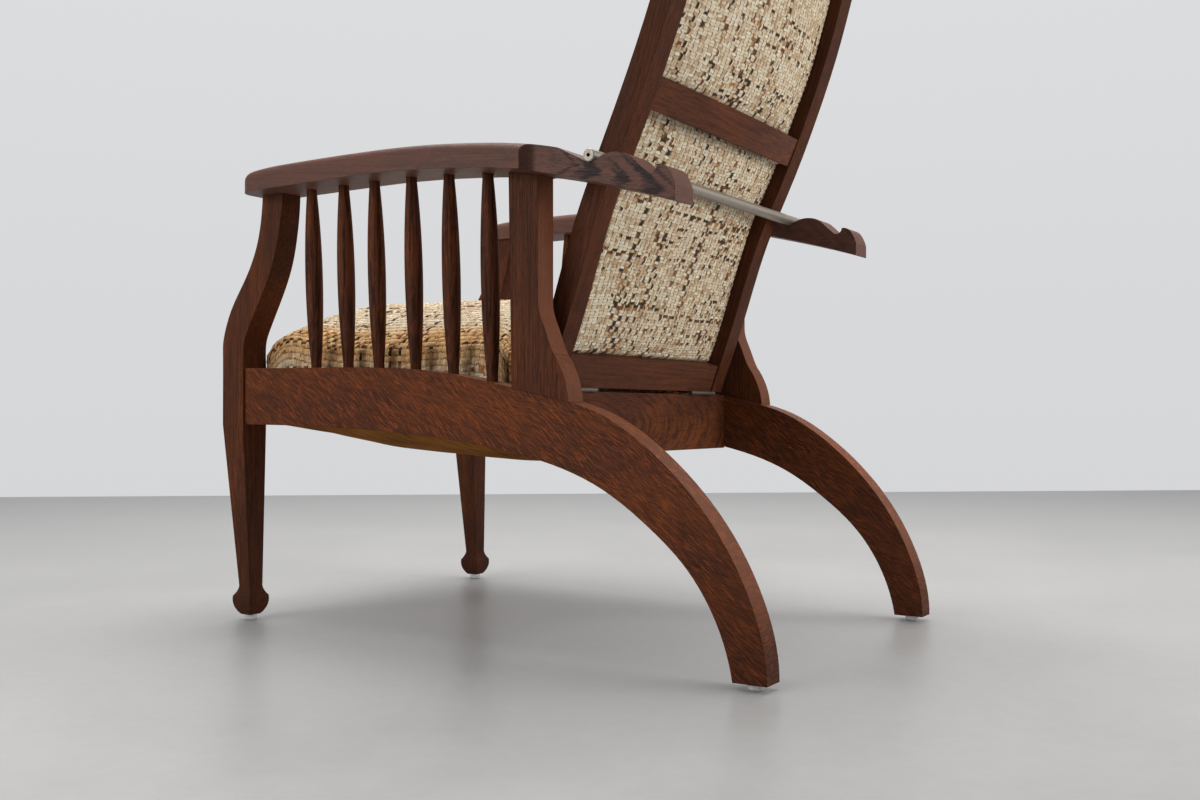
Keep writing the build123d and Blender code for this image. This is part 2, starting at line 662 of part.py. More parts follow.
# Support rod across both arms, with a small blind bore in each end
bracket_at_rod = bracket_outer - (bracket_outer - bracket_inner - tip_width) * (
    first_notch_y - wide_end) / (arm_rear - wide_end)
rod_half = bracket_at_rod + rod_overhang
rod_place = Pos(0, first_notch_y, first_notch_z) * Rot(0, 90, 0)
rod = rod_place * Cylinder(rod_radius, 2 * rod_half)
rod = chamfer(rod.edges().filter_by(GeomType.CIRCLE), rod_ease)
for side in (-1, 1):
    rod -= Pos(side * rod_half, first_notch_y, first_notch_z) * Rot(0, 90, 0) * Cylinder(
        rod_bore / 2, 2 * rod_bore_depth)
pieces["support_rod"] = rod

os.makedirs("parts", exist_ok=True)
to_origin = Pos(0, -middle_y, 0)
for name, shape in pieces.items():
    if isinstance(shape, (list, tuple)):
        shape = Compound(children=[s for item in shape for s in item.solids()])
    export_step(to_origin * shape, f"parts/{name}.step")
print("middle_y", middle_y)
print("hinge", hinge_y - middle_y, hinge_z)
print("rod", first_notch_y - middle_y, first_notch_z)
print("swing centre", swing_centre[0] - middle_y, swing_centre[1], "swing angle", swing_angle)
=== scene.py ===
import math

import bmesh
import bpy
import numpy as np
from mathutils import Matrix, Vector
from mathutils.bvhtree import BVHTree


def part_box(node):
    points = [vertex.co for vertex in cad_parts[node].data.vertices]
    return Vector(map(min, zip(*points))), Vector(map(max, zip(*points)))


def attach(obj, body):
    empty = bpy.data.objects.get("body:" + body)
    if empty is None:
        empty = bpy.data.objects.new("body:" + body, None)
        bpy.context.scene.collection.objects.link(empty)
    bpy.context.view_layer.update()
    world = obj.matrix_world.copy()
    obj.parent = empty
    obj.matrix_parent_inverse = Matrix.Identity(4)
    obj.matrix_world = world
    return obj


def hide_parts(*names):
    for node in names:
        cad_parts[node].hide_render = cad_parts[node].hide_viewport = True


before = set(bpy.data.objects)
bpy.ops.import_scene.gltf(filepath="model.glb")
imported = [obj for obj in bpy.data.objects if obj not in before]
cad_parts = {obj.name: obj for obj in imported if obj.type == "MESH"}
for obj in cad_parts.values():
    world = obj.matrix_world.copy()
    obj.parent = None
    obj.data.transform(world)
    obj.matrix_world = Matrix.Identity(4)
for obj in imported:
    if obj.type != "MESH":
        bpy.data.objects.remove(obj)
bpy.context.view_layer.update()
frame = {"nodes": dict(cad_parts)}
nodes = frame["nodes"]

upright, sideways, lengthways = (0, 0, 1), (1, 0, 0), (0, 1, 0)

# Camera, solved from mirror pairs of the chair in the photograph
camera_place = Vector((1.50573, 1.02308, 0.31466))
camera_turn = math.radians(123.0415)
camera_rise = math.radians(-0.612)
camera_lens = 35.757
image_width = 1200
sensor_width = 36.0

# The floor ends at the wall, at these image rows on the left and right edges of the photograph
horizon_row = 412.7
floor_row_left, floor_row_right = 497.0, 490.0
floor_reach = 9.0

# Brightness of the wall behind the chair, and of the room on its other sides
wall_light = 0.735
room_light = 0.30

# Soft boxes: name, place, size, watts, what they point at, colour
lights = (
    ("overhead", (-0.4, -0.2, 3.0), (2.6, 2.6), 108, (-0.1, 0, 0.3), (1.0, 0.99, 0.975)),
    ("key", (-0.9, 3.2, 1.3), (2.4, 1.8), 66, (0, 0, 0.6), (1.0, 0.985, 0.965)),
    ("fill", (3.3, -1.2, 1.2), (2.0, 1.6), 50, (0, -0.1, 0.4), (1.0, 1.0, 1.0)),
)

# Tweed: spacing of its threads, which run in pairs, how far they stand up, and the mesh that shows them
warp_pitch = 0.0098
weft_pitch = 0.0084
thread_relief = 0.0017
cloth_step = 0.0016

# How far the threads wander to the side and the whole cloth waves in and out, and both rates per metre
thread_wander, wander_rate = 0.0014, 60
cloth_wave, wave_rate = 0.0010, 28

# The cushions' cloth simulation: size of the faces, start inside the CAD solid, pressure and frames
voxel_size = 0.005
start_inset = 0.002
cloth_pressure = 4
cloth_frames = 20

# How far the filling may move a cushion's skin
seat_swell = 0.004
back_swell = 0.010

# Rays to a cushion's skin start this far inside its flat side
seat_eye_height = 0.012
back_eye_depth = 0.006

# The woven part of a cover goes this far round to each side, and the hidden rest is plain
seat_half_turn = math.radians(92)
back_half_turn = math.radians(91)

# Places tried along the seat's crest and up the back's rear, and how far behind the rear those rays start
crest_samples = 400
rear_samples = 500
ray_start = 0.1

# Rounds of evening out that a cushion's grid gets, and the line up its back
cover_softening = 6
line_softening = 40

# Corners of a closed cover that meet become one
weld_distance = 0.000001

# The upper panel's cloth is cut from another place than the lower one's
upper_panel_cut = 0.31

# Jute straps under the seat, how far they leave the frame's sides and how far they weave up and down
strap_count, strap_width, strap_margin = 5, 0.050, 0.020
strap_wave = 0.0012


# Camera, floor and light
def make_camera():
    back = Vector((math.sin(camera_turn) * math.cos(camera_rise),
                   -math.cos(camera_turn) * math.cos(camera_rise), math.sin(camera_rise)))
    right = Vector((math.cos(camera_turn), math.sin(camera_turn), 0))
    up = back.cross(right)
    camera = bpy.data.objects.new("camera", bpy.data.cameras.new("camera"))
    camera.data.lens = camera_lens
    camera.data.sensor_width = sensor_width
    camera.matrix_world = Matrix.Translation(camera_place) @ Matrix((right, up, back)).transposed().to_4x4()
    bpy.context.collection.objects.link(camera)
    bpy.context.scene.camera = camera
    return back, right


def make_floor(back, right):
    """A floor whose far edge is the foot of the wall in the photograph."""
    ahead = Vector((-back.x, -back.y, 0)).normalized()
    focal = camera_lens / sensor_width * image_width
    far_left = focal * camera_place.z / (floor_row_left - horizon_row)
    far_right = focal * camera_place.z / (floor_row_right - horizon_row)
    half = image_width / 2 / focal
    slope = (far_right - far_left) / (half * (far_left + far_right))
    middle = far_left + slope * half * far_left

    def spot(side, distance):
        place = camera_place + right * side + ahead * distance
        return (place.x, place.y, 0)

    corners = [spot(-floor_reach, middle - slope * floor_reach),
               spot(floor_reach, middle + slope * floor_reach),
               spot(floor_reach, middle - 2 * floor_reach),
               spot(-floor_reach, middle - 2 * floor_reach)]
    mesh = bpy.data.meshes.new("floor")
    mesh.from_pydata(corners, [], [(3, 2, 1, 0)])
    floor = bpy.data.objects.new("floor", mesh)
    bpy.context.collection.objects.link(floor)
    mesh.materials.append(concrete())


def make_light(name, place, size, power, aim, colour):
    lamp = bpy.data.lights.new(name, "AREA")
    lamp.shape = "RECTANGLE"
    lamp.size, lamp.size_y = size
    lamp.energy = power
    lamp.color = colour
    light = bpy.data.objects.new(name, lamp)
    light.location = place
    light.rotation_euler = (Vector(aim) - Vector(place)).to_track_quat("-Z", "Y").to_euler()
    bpy.context.collection.objects.link(light)


def make_world(back):
    """An even pale wall behind the chair, a little duller low down, and a dimmer room on the other sides."""
    world = bpy.data.worlds.new("studio")
    world.use_nodes = True
    nodes, links = world.node_tree.nodes, world.node_tree.links
    background = nodes["Background"]
    background.inputs["Color"].default_value = (0.98, 0.985, 1.0, 1)

    def ranged(value, low, high, at_low, at_high, kind):
        node = nodes.new("ShaderNodeMapRange")
        node.interpolation_type = kind
        for name, setting in (("From Min", low), ("From Max", high), ("To Min", at_low), ("To Max", at_high)):
            node.inputs[name].default_value = setting
        links.new(value, node.inputs["Value"])
        return node.outputs["Result"]

    direction = nodes.new("ShaderNodeTexCoord").outputs["Generated"]
    toward_wall = nodes.new("ShaderNodeVectorMath")
    toward_wall.operation = "DOT_PRODUCT"
    toward_wall.inputs[1].default_value = Vector((-back.x, -back.y, 0)).normalized()
    links.new(direction, toward_wall.inputs[0])
    height = nodes.new("ShaderNodeSeparateXYZ")
    links.new(direction, height.inputs[0])
    strength = nodes.new("ShaderNodeMath")
    strength.operation = "MULTIPLY"
    links.new(ranged(toward_wall.outputs["Value"], 0.35, 0.80, room_light, wall_light, "SMOOTHSTEP"),
              strength.inputs[0])
    links.new(ranged(height.outputs["Z"], -0.05, 0.35, 0.93, 1.0, "LINEAR"), strength.inputs[1])
    links.new(strength.outputs[0], background.inputs["Strength"])
    bpy.context.scene.world = world


# Materials
class Shader:
    """Short calls for building one material from nodes."""

    def __init__(self, name):
        self.material = bpy.data.materials.new(name)
        self.material.use_nodes = True
        self.nodes = self.material.node_tree.nodes
        self.links = self.material.node_tree.links
        self.surface = self.nodes["Principled BSDF"]

    def put(self, socket, value):
        if isinstance(value, bpy.types.NodeSocket):
            self.links.new(value, socket)
        elif isinstance(value, tuple) and len(value) == 3 and socket.type == "RGBA":
            socket.default_value = (*value, 1)
        else:
            socket.default_value = value

    def finish(self, **inputs):
        for name, value in inputs.items():
            self.put(self.surface.inputs[name.replace("_", " ").title().replace("Ior", "IOR")], value)
        return self.material

    def math(self, operation, *values):
        node = self.nodes.new("ShaderNodeMath")
        node.operation = operation
        for socket, value in zip(node.inputs, values):
            self.put(socket, value)
        return node.outputs[0]

    def ease(self, value, low, high):
        """0 below low, 1 above high and smooth between them."""
        node = self.nodes.new("ShaderNodeMapRange")
        node.interpolation_type = "SMOOTHSTEP"
        for name, setting in (("Value", value), ("From Min", low), ("From Max", high)):
            self.put(node.inputs[name], setting)
        return node.outputs["Result"]

    def place(self):
        return self.nodes.new("ShaderNodeTexCoord").outputs["Object"]

    def facing(self):
        """The direction that the surface looks in."""
        return self.nodes.new("ShaderNodeTexCoord").outputs["Normal"]

    def attribute(self, name):
        """The first two numbers that the mesh keeps under this name."""
        node = self.nodes.new("ShaderNodeAttribute")
        node.attribute_name = name
        split = self.nodes.new("ShaderNodeSeparateXYZ")
        self.put(split.inputs[0], node.outputs["Vector"])
        return split.outputs[0], split.outputs[1]

    def dot(self, vector, direction):
        node = self.nodes.new("ShaderNodeVectorMath")
        node.operation = "DOT_PRODUCT"
        self.put(node.inputs[0], vector)
        node.inputs[1].default_value = direction
        return node.outputs["Value"]

    def join(self, x, y, z=0.0):
        node = self.nodes.new("ShaderNodeCombineXYZ")
        for socket, value in zip(node.inputs, (x, y, z)):
            self.put(socket, value)
        return node.outputs[0]

    def noise(self, place, scale=1.0, detail=2.0, rough=0.5, twist=0.0):
        node = self.nodes.new("ShaderNodeTexNoise")
        for name, value in (("Vector", place), ("Scale", scale), ("Detail", detail),
                            ("Roughness", rough), ("Distortion", twist)):
            self.put(node.inputs[name], value)
        return node.outputs[0]

    def chance(self, place):
        """An even random value from 0 to 1 for each whole place."""
        node = self.nodes.new("ShaderNodeTexWhiteNoise")
        node.noise_dimensions = "3D"
        self.put(node.inputs["Vector"], place)
        return node.outputs["Value"]

    def ramp(self, value, *stops):
        node = self.nodes.new("ShaderNodeValToRGB")
        self.put(node.inputs[0], value)
        ramp = node.color_ramp
        while len(ramp.elements) < len(stops):
            ramp.elements.new(0.5)
        for element, (position, colour) in zip(ramp.elements, stops):
            element.position = position
            element.color = (*colour, 1)
        return node.outputs[0]

    def mix(self, share, first, second, blend="MIX"):
        node = self.nodes.new("ShaderNodeMix")
        node.data_type = "RGBA"
        node.blend_type = blend
        # The node has sockets for every data type, and these are the ones for colours
        for number, value in ((0, share), (6, first), (7, second)):
            self.put(node.inputs[number], value)
        return node.outputs[2]

    def bump(self, height, distance, strength=1.0, under=None):
        """A normal that follows a height, on top of the normal that lies under it."""
        node = self.nodes.new("ShaderNodeBump")
        self.put(node.inputs["Height"], height)
        node.inputs["Distance"].default_value = distance
        node.inputs["Strength"].default_value = strength
        if under:
            self.put(node.inputs["Normal"], under)
        return node.outputs[0]

    def soft_edge(self, radius):
        """A normal that rounds the solid's edges."""
        node = self.nodes.new("ShaderNodeBevel")
        node.samples = 4
        node.inputs["Radius"].default_value = radius
        return node.outputs[0]


def concrete():
    """A smooth pale floor with faint clouds."""
    s = Shader("concrete")
    place = s.place()
    cloud = s.noise(place, 1.6, 5, 0.6)
    speck = s.noise(place, 38, 4, 0.65)
    tone = s.mix(0.22, cloud, speck)
    colour = s.ramp(tone, (0.30, (0.325, 0.322, 0.318)), (0.50, (0.38, 0.377, 0.373)),
                    (0.70, (0.43, 0.427, 0.423)))
    rough = s.math("MULTIPLY_ADD", s.ease(cloud, 0.2, 0.9), 0.20, 0.30)
    return s.finish(base_color=colour, roughness=rough, specular_ior_level=0.4,
                    normal=s.bump(speck, 0.0006, 0.25))


# Oak colours: the flecks, the ground between them, the dark of the pores, the painted light on faces that
# look
# # one way, the painted pinkish sheen and the bracket's bands
fleck_orange = (0.265, 0.064, 0.016)
warm_brown = (0.155, 0.046, 0.016)
ground_brown = (0.080, 0.027, 0.0140)
dark_brown = (0.030, 0.011, 0.0062)
painted_light_orange = (0.34, 0.135, 0.076)
painted_sheen_pink = (0.165, 0.085, 0.068)
band_dark = (0.012, 0.007, 0.008)

# Painted shade: the wood is darker towards the floor, as if less light reached it: full colour above this
# height,
# # and this share of it at the floor
painted_foot_shade_height = 0.26
painted_foot_shade = 0.62

# The arm's rear bracket starts here and slopes. Its middle line is where this direction measures this much
bracket_start = 0.17
bracket_way = (0, 0.35, 1)
bracket_line = 0.690

# Rounding that the wood's edges show
edge_round = 0.0016


def oak(name, grain, across, line=260, fleck=0.3, fleck_turn=0.0, fleck_line=760, pink=0.0,
        stripe=0.35, pale=1.0, rings=None, banding=1.0, gloss=0.06, lit_share=0.0, light_way=upright,
        zebra_from=None):
    """Fumed oak. Grain and across are the directions along and square to the fibres.

    line and fleck_line are the grain lines and ray flecks per metre, fleck_turn the flecks' slant, rings
    the middle of growth rings cut across, pink the share of a painted pinkish sheen on the whole piece,
    lit_share the share of painted light on faces that look light_way, and zebra_from the place behind
    which an arm shows the bands of its bracket, with a painted shade in its cove in front of it.
    """
    grain, across = Vector(grain).normalized(), Vector(across).normalized()
    through = grain.cross(across)
    s = Shader(name)
    place = s.place()
    a, b, c = s.dot(place, grain), s.dot(place, across), s.dot(place, through)

    def stretched(x, y, z, **more):
        """Noise with these many turns a metre along the grain, across it and through it."""
        spot = s.join(s.math("MULTIPLY", a, x), s.math("MULTIPLY", b, y), s.math("MULTIPLY", c, z))
        return s.noise(spot, **more)

    # Growth lines, clouds of stain and pores
    if rings:
        ring = s.math("SQRT", s.math("ADD", *[
            s.math("POWER", s.math("MULTIPLY", s.math("SUBTRACT", value, centre), squash), 2.0)
            for value, centre, squash in zip((a, b), rings, (0.3, 1.0))]))
        spot = s.join(s.math("MULTIPLY", ring, line), s.math("MULTIPLY", a, 9), s.math("MULTIPLY", b, 30))
        bands = s.noise(spot, detail=3, twist=0.5)
    else:
        bands = stretched(7, line, line, detail=3, twist=0.5)
    cloud = stretched(6, 14, 14, detail=3)
    pores = stretched(60, 1100, 1100, detail=2, rough=0.6)
    dark, ground, warm = (tuple(pale * v for v in tone) for tone in (dark_brown, ground_brown, warm_brown))
    colour = s.mix(s.math("MULTIPLY", s.ease(cloud, 0.35, 0.70), stripe), ground, warm)
    colour = s.mix(s.math("MULTIPLY", s.ease(bands, 0.58, 0.36), banding), colour, dark)

    # Ray flecks in patches, broken up along their length
    turn = math.radians(fleck_turn)
    ray = math.cos(turn) * grain + math.sin(turn) * across
    side = math.cos(turn) * across - math.sin(turn) * grain
    bend = s.math("MULTIPLY", s.noise(place, 14, 2), 0.020)
    spot = s.join(s.math("MULTIPLY", s.dot(place, ray), 55),
                  s.math("MULTIPLY", s.math("ADD", s.dot(place, side), bend), fleck_line),
                  s.math("MULTIPLY", c, 60))
    rays = s.noise(spot, detail=2, rough=0.5, twist=0.3)
    fine = stretched(60, 2300, 2300, detail=1) if not fleck_turn else s.noise(spot, 2.9, 1)
    patch = s.ease(s.noise(place, 30, 2), 0.30, 0.60)
    shown = s.math("MULTIPLY", s.ease(rays, 0.51, 0.61),
                   s.math("MULTIPLY_ADD", patch, 0.55 * fleck, 0.45 * fleck))
    shown = s.math("MULTIPLY", shown, s.math("MULTIPLY_ADD", s.ease(fine, 0.40, 0.58), 0.55, 0.45))
    colour = s.mix(shown, colour, fleck_orange)
    colour = s.mix(s.math("MULTIPLY", s.ease(rays, 0.46, 0.34), 0.25 * fleck), colour, dark)
    colour = s.mix(s.math("MULTIPLY", s.ease(pores, 0.54, 0.64), 0.6), colour, dark)

    # Painted sheen, the bracket's bands, painted shade in the cove and painted light on faces that look one
    # way
    # Painted sheen: a pinkish grey over the whole piece stands in for reflected overhead light
    if pink:
        colour = s.mix(pink, colour, painted_sheen_pink)
    if zebra_from is not None:
        normal = s.facing()
        behind = s.dot(place, lengthways)
        fall = s.math("ABSOLUTE", s.math("SUBTRACT", s.dot(place, bracket_way), bracket_line))
        fibre = s.math("SUBTRACT", stretched(45, 900, 900, detail=2), 0.5)
        lean = s.math("MULTIPLY_ADD", fibre, 0.030, s.math("MULTIPLY_ADD", fall, 1.4, behind))
        zebra = s.noise(s.join(s.math("MULTIPLY", lean, 62), s.math("MULTIPLY", fall, 20),
                               s.math("MULTIPLY", c, 20)), detail=1)
        rear = s.math("MULTIPLY", s.ease(behind, zebra_from, zebra_from + 0.03),
                      s.ease(s.math("ABSOLUTE", s.dot(normal, sideways)), 0.6, 0.9))
        arm_share = s.math("MULTIPLY_ADD", s.ease(s.dot(place, sideways), -0.1, 0.1), 0.65, 0.25)
        banded = s.math("MULTIPLY", s.ease(zebra, 0.45, 0.56), s.math("MULTIPLY", rear, arm_share))
        colour = s.mix(banded, colour, band_dark)
        # Painted shade: the arm's faces that look to the rear, just before the bracket's bands begin, are
        # darkened as if in shadow
        cove_shade = s.math("MULTIPLY", s.ease(s.dot(normal, lengthways), 0.08, 0.4),
                      s.ease(behind, zebra_from + 0.02, zebra_from))
        colour = s.mix(s.math("MULTIPLY", cove_shade, 0.8), colour, dark)
    # Painted light: faces that look the given way get a lighter, more orange colour, as if lit from there
    if lit_share:
        rising = s.dot(s.facing(), light_way)
        colour = s.mix(s.math("MULTIPLY", s.ease(rising, 0.15, 0.45), lit_share), colour, painted_light_orange)
    # Painted shade: the colour is multiplied darker the nearer the floor
    low = s.math("MULTIPLY_ADD", s.ease(s.dot(place, upright), 0.0, painted_foot_shade_height),
                 1 - painted_foot_shade, painted_foot_shade)
    colour = s.mix(1.0, colour, low, "MULTIPLY")
    rough = s.math("MULTIPLY_ADD", cloud, 0.22, 0.36)
    groove = s.math("SUBTRACT", s.math("MULTIPLY", rays, 0.3), s.ease(pores, 0.5, 0.66))
    return s.finish(base_color=colour, roughness=rough, specular_ior_level=gloss,
                    normal=s.bump(groove, 0.0004, 0.4, s.soft_edge(edge_round)))


# Yarn colours, the tint of the worn sides and the brown of the painted shade in the gaps
bright_cream = (1.0, 0.92, 0.73)
cream = (0.92, 0.77, 0.55)
warm_cream = (0.68, 0.46, 0.27)
tan = (0.50, 0.25, 0.085)
rust = (0.23, 0.080, 0.026)
brown_black = (0.028, 0.013, 0.008)
worn_gold = (0.92, 0.68, 0.42)
gap_shade_brown = (0.30, 0.17, 0.08)

# How far the drawn yarns wobble
yarn_wobble = 0.0030

# The seat's golden sides start this far off its middle line, and their two dark rows lie this much further
gold_start = 0.20
dark_rows = (0.035, 0.065)


def tweed(name, golden_from=None):
    """Hand-woven tweed: pairs of thick cream threads with runs of black, brown and rust.

    On the seat its sides, from golden_from off the middle line, are golden with two darker rows.
    """
    s = Shader(name)
    across, along = s.attribute("weave")
    from_middle = s.math("ABSOLUTE", across)
    place = s.place()
    across = s.math("MULTIPLY_ADD", s.math("SUBTRACT", s.noise(place, 150, 2), 0.5), yarn_wobble, across)
    along = s.math("MULTIPLY_ADD", s.math("SUBTRACT", s.noise(place, 170, 2), 0.5), yarn_wobble, along)
    across, along = s.math("DIVIDE", across, warp_pitch), s.math("DIVIDE", along, weft_pitch)
    cell_across, cell_along = s.math("FLOOR", across), s.math("FLOOR", along)
    parity = s.math("FRACT", s.math("MULTIPLY", s.math("ADD", cell_across, cell_along), 0.5))
    weft_over = s.math("GREATER_THAN", parity, 0.25)

    def strand(through, length, over, width, slant, seed):
        """One of the two threads of a pair: its number, a random value for its float and its height."""
        inside = s.math("SUBTRACT", s.math("FRACT", through), 0.5)
        run = s.math("SUBTRACT", s.math("FRACT", length), 0.5)
        inside = s.math("MULTIPLY_ADD", run, slant, inside)
        side = s.math("GREATER_THAN", inside, 0.0)
        number = s.math("MULTIPLY_ADD", s.math("FLOOR", through), 2.0, side)
        off = s.math("DIVIDE", s.math("SUBTRACT", s.math("ABSOLUTE", inside), width), width)
        round_top = s.math("MULTIPLY_ADD", s.math("MULTIPLY", off, off), -1.0, 1.0)
        profile = s.math("SQRT", s.math("MAXIMUM", round_top, 0.0))
        turn = s.math("COSINE", s.math("MULTIPLY", run, math.pi))
        climb = s.math("MULTIPLY", turn, s.math("MULTIPLY_ADD", over, 2.0, -1.0))
        value = s.chance(s.join(number, s.math("FLOOR", length), seed))
        height = s.math("MULTIPLY_ADD", profile, s.math("MULTIPLY_ADD", value, 0.5, 0.7), climb)
        beside = s.math("MULTIPLY_ADD", s.math("GREATER_THAN", profile, 0.02), 3.0, -3.0)
        height = s.math("ADD", height, beside)
        return number, value, height

    def near(distance):
        """1 at this distance from the cushion's middle line, 0 a thread away."""
        return s.ease(s.math("ABSOLUTE", s.math("SUBTRACT", from_middle, distance)), 0.007, 0.003)

    def thread_colour(number, run, value, seed, reach, rare):
        """The colour of one thread along its run: cream with dark and rust slubs."""

        def varied(per_thread, per_float, start, detail):
            spot = s.join(s.math("MULTIPLY", number, per_thread), s.math("MULTIPLY", run, per_float), start)
            return s.noise(spot, detail=detail)

        group = varied(0.27, 0.020, seed, 2)
        slub = varied(5.3, reach, seed, 2)
        drive = s.math("MULTIPLY_ADD", s.math("SUBTRACT", group, 0.5), 1.4, slub)
        kind = varied(3.1, 0.30, seed + 9, 1)
        light = s.mix(s.ease(value, 0.0, 0.6), warm_cream, cream)
        light = s.mix(s.ease(value, 0.65, 1.0), light, bright_cream)
        tint = s.mix(s.ease(kind, 0.46, 0.52), brown_black, rust)
        tint = s.mix(s.ease(kind, 0.58, 0.62), tint, tan)
        return s.mix(s.ease(s.math("SUBTRACT", drive, rare), 0.0, 0.03), light, tint)

    # The warp lies a little higher, so it covers more
    warp_over = s.math("SUBTRACT", 1.0, weft_over)
    warp_number, warp_value, warp_height = strand(across, along, warp_over, 0.20, 0.22, 1.0)
    weft_number, weft_value, weft_height = strand(along, across, weft_over, 0.25, 0.10, 2.0)
    warp_height = s.math("ADD", warp_height, 0.30)
    on_top = s.math("GREATER_THAN", weft_height, warp_height)
    warp_rare = 0.60
    if golden_from:
        rows = s.math("ADD", *[near(golden_from + row) for row in dark_rows])
        warp_rare = s.math("MULTIPLY_ADD", rows, -0.10, 0.61)
    warp_colour = thread_colour(warp_number, along, warp_value, 3.7, 0.20, warp_rare)
    weft_colour = thread_colour(weft_number, across, weft_value, 41.3, 0.26, 0.70)
    colour = s.mix(on_top, warp_colour, weft_colour)
    height = s.math("MULTIPLY", s.math("MAXIMUM", s.math("MAXIMUM", weft_height, warp_height), -1.0), 0.5)

    # Painted shade in the gaps between the threads and across their twisted plies, and loose fibres
    fuzz = s.noise(place, 1100, 3, 0.65)
    ply = s.mix(on_top, s.math("SINE", s.math("MULTIPLY", s.math("ADD", along, across), 20.0)),
                s.math("SINE", s.math("MULTIPLY", s.math("SUBTRACT", across, along), 26.0)))
    # Painted shade: the lower a place on the threads, the darker and browner its colour, as if in shadow
    gap_shade = s.math("MULTIPLY_ADD", s.ease(height, 0.0, 0.75), 0.68, 0.32)
    gap_shade = s.math("MULTIPLY", gap_shade, s.math("MULTIPLY_ADD", ply, 0.06, 0.94))
    colour = s.mix(s.math("MULTIPLY_ADD", gap_shade, -0.7, 0.7), colour, gap_shade_brown)
    colour = s.mix(1.0, colour, gap_shade, "MULTIPLY")
    colour = s.mix(s.math("MULTIPLY", s.ease(fuzz, 0.45, 0.7), 0.10), colour, cream)
    if golden_from:
        gold = s.math("MULTIPLY", s.ease(from_middle, golden_from, golden_from + 0.04),
                      s.ease(from_middle, golden_from + 0.12, golden_from + 0.07))
        colour = s.mix(gold, colour, worn_gold, "MULTIPLY")
    relief = s.math("MULTIPLY_ADD", ply, 0.10, height)
    relief = s.math("MULTIPLY_ADD", fuzz, 0.35, relief)
    return s.finish(base_color=colour, roughness=0.95, specular_ior_level=0.2,
                    normal=s.bump(relief, 0.0022, 1.0), sheen_weight=0.04, sheen_roughness=0.5)


# Base colours and thread spacing of the sacking and the jute, and the colours of steel and plastic
sacking_brown, sacking_thread = (0.43, 0.160, 0.024), 0.0022
jute_tan, jute_thread = (0.40, 0.29, 0.15), 0.0030
hinge_steel = (0.17, 0.15, 0.125)
rod_steel = (0.36, 0.32, 0.275)
steel_stain = (0.14, 0.10, 0.07)
glide_white = (0.74, 0.75, 0.74)
glide_scuffed = (0.50, 0.49, 0.46)


def hessian(name, base, thread, dark=0.5):
    """Coarse plain cloth for the underside and the straps."""
    s = Shader(name)
    across, along = s.attribute("weave")
    waves = [s.math("SINE", s.math("MULTIPLY", value, 2 * math.pi / thread)) for value in (across, along)]
    weave = s.math("MULTIPLY_ADD", s.math("MULTIPLY", *waves), 0.5, 0.5)
    place = s.place()
    stain = s.noise(place, 9, 4, 0.6)
    line = s.noise(s.join(s.math("MULTIPLY", across, 9.0), s.math("MULTIPLY", along, 120.0)), detail=3)
    colour = s.mix(s.ease(stain, 0.35, 0.7), base, tuple(0.55 * v for v in base))
    colour = s.mix(s.math("MULTIPLY", s.ease(line, 0.55, 0.62), dark), colour, tuple(0.15 * v for v in base))
    # Painted shade: the colour is darker where the weave lies low
    colour = s.mix(0.45, colour, s.ramp(weave, (0.0, (0.35, 0.35, 0.35)), (1.0, (1, 1, 1))), "MULTIPLY")
    return s.finish(base_color=colour, roughness=0.95, specular_ior_level=0.08,
                    normal=s.bump(weave, 0.0008, 0.8))


def steel(name, base, stain):
    """Old steel, drawn along its length and stained in spots."""
    s = Shader(name)
    place = s.place()
    long = s.noise(s.join(s.math("MULTIPLY", s.dot(place, sideways), 30), s.dot(place, (0, 300, 0)),
                          s.dot(place, (0, 0, 300))), detail=3)
    spot = s.noise(place, 60, 4, 0.7)
    colour = s.mix(s.math("MULTIPLY", s.ease(spot, 0.5, 0.75), stain), base, steel_stain)
    rough = s.math("MULTIPLY_ADD", long, 0.25, 0.42)
    return s.finish(base_color=colour, metallic=0.9, roughness=rough, normal=s.bump(long, 0.0002, 0.3))


def plastic(name):
    """White plastic with scuffs."""
    s = Shader(name)
    scuff = s.noise(s.place(), 220, 3, 0.6)
    colour = s.mix(s.ease(scuff, 0.45, 0.75), glide_white, glide_scuffed)
    return s.finish(base_color=colour, roughness=0.35, transmission_weight=0.25,
                    normal=s.bump(scuff, 0.0003, 0.3))


